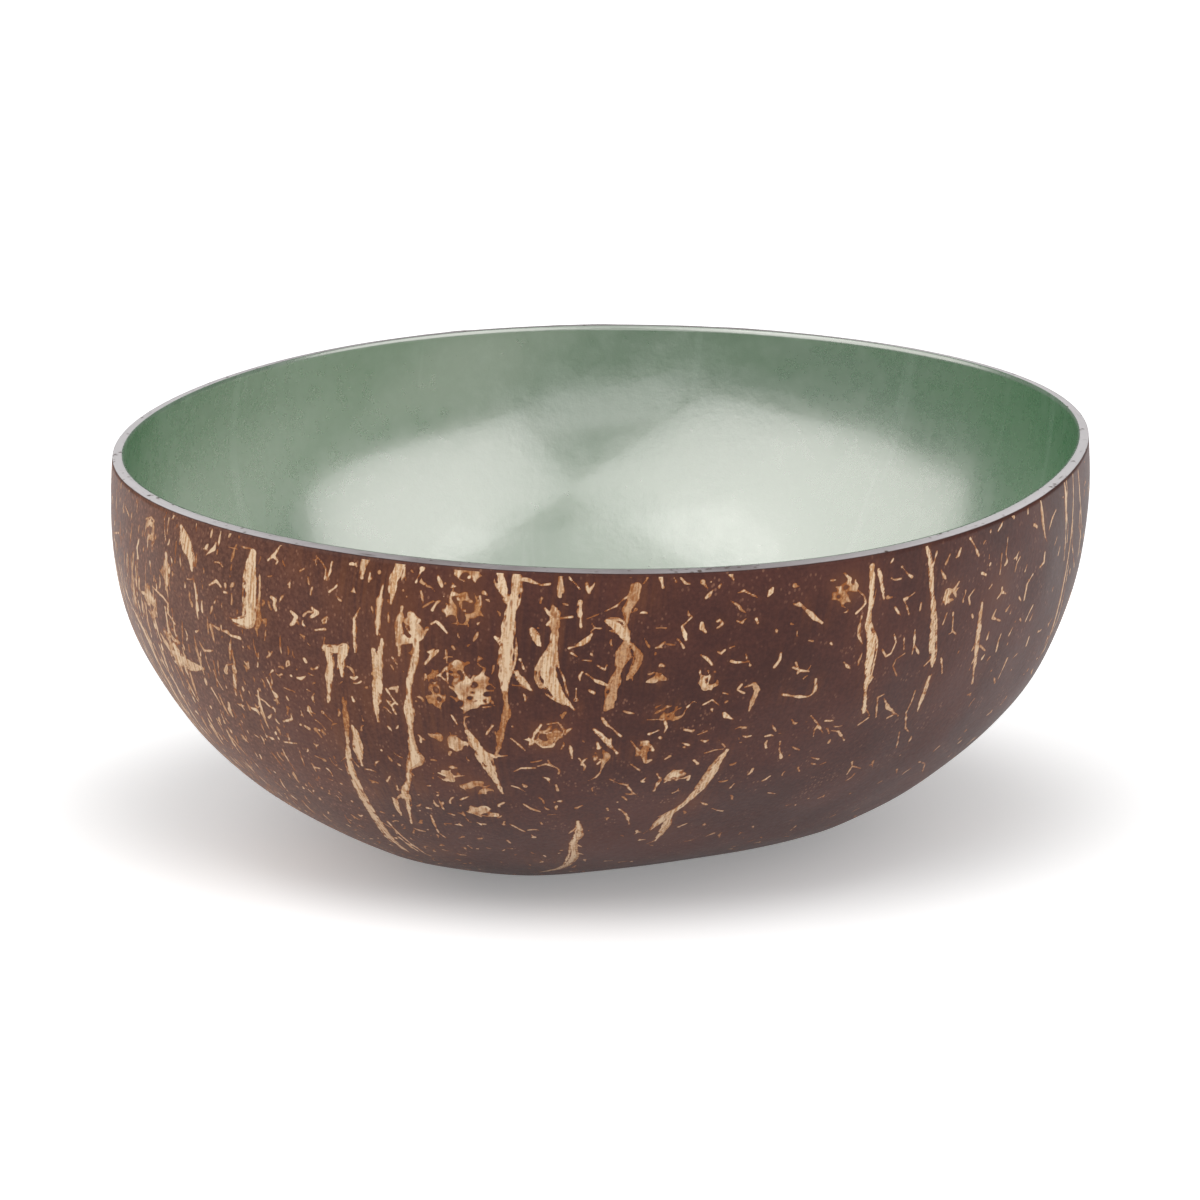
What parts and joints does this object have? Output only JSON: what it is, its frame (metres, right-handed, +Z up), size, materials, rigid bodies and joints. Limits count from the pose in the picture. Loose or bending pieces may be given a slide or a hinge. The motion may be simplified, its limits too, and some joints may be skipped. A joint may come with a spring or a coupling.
{
  "type": "coconut shell bowl",
  "caption": "Bowl cut from half a coconut shell, with a ground and polished outside that shows pale fibres, a coated rim, a green lacquered hollow and a flat foot.",
  "frame": {"origin": "centre of the flat ground foot, on the surface that the bowl stands on", "axes": "+Z up, out of the bowl's mouth; +X to the right and +Y away from a viewer who sees it as the picture does"},
  "size_m": [0.1445, 0.1512, 0.0601],
  "materials": {
    "coconut_shell": "ground smooth and polished, satin, dark brown with fine pale fibre marks",
    "grey_ground": "matte pale grey ground coat, slightly pitted",
    "green_lacquer": "glossy green lacquer with a silvery, leaf-like crinkle under clear coats",
    "pale_fibre": "cream to tan fibre, ground flush with the shell and polished"
  },
  "bodies": {
    "root": {"shell": "coconut_shell", "ground_coat": "grey_ground", "lacquer_lining": "green_lacquer", "fibre_strands": "pale_fibre"}
  },
  "joints": []
}
